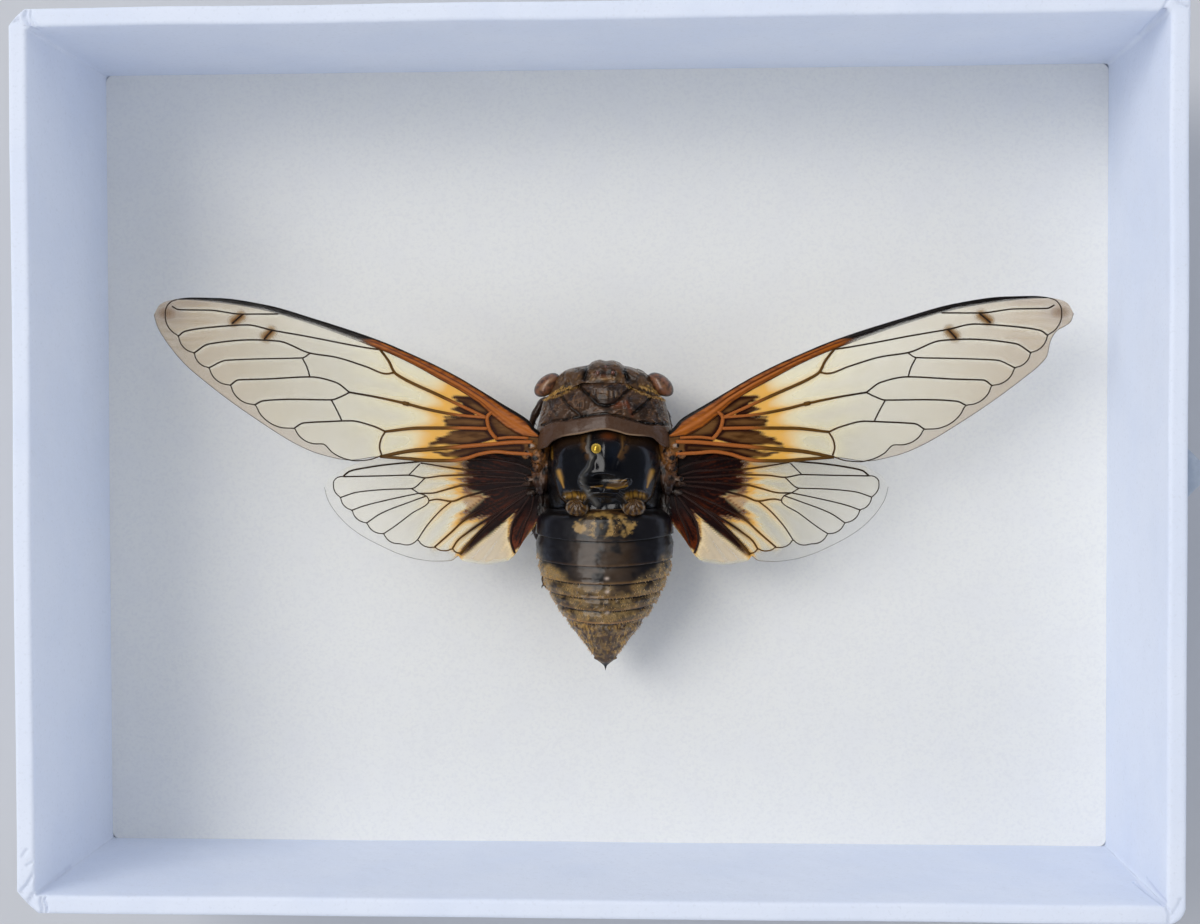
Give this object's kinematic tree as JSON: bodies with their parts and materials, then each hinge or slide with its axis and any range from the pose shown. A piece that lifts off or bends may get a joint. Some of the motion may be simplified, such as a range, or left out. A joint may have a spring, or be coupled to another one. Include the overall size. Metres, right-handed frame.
{
  "type": "framed cicada specimen",
  "caption": "Dried cicada with spread veined wings, pinned on a foam pad in an open white paper-covered box.",
  "frame": {"origin": "middle of the box's flat underside", "axes": "+Z out of the open top, +Y towards the insect's head, +X to the insect's right, along the box's long side"},
  "size_m": [0.1643, 0.125, 0.044],
  "materials": {
    "white_paper": "matte",
    "foam": "matte",
    "grey_board": "matte",
    "steel": "satin",
    "brass": "polished",
    "dark_chitin": "satin",
    "black_chitin": "gloss",
    "banded_chitin": "satin",
    "eye": "gloss",
    "wing_membrane": "satin"
  },
  "bodies": {
    "root": {"tray": "white_paper", "foam_pad": "foam", "pull_tab": "grey_board", "pin_shaft": "steel", "pin_head": "brass", "head": "dark_chitin", "eye_left": "eye", "eye_right": "eye", "antenna_left": "dark_chitin", "antenna_right": "dark_chitin", "rostrum": "dark_chitin", "pronotum": "dark_chitin", "mesothorax": "black_chitin", "abdomen": "banded_chitin", "forewing_left": "wing_membrane", "forewing_right": "wing_membrane", "hindwing_left": "wing_membrane", "hindwing_right": "wing_membrane", "foreleg_left": "dark_chitin", "foreleg_right": "dark_chitin", "midleg_left": "dark_chitin", "midleg_right": "dark_chitin", "hindleg_left": "dark_chitin", "hindleg_right": "dark_chitin"}
  },
  "joints": []
}
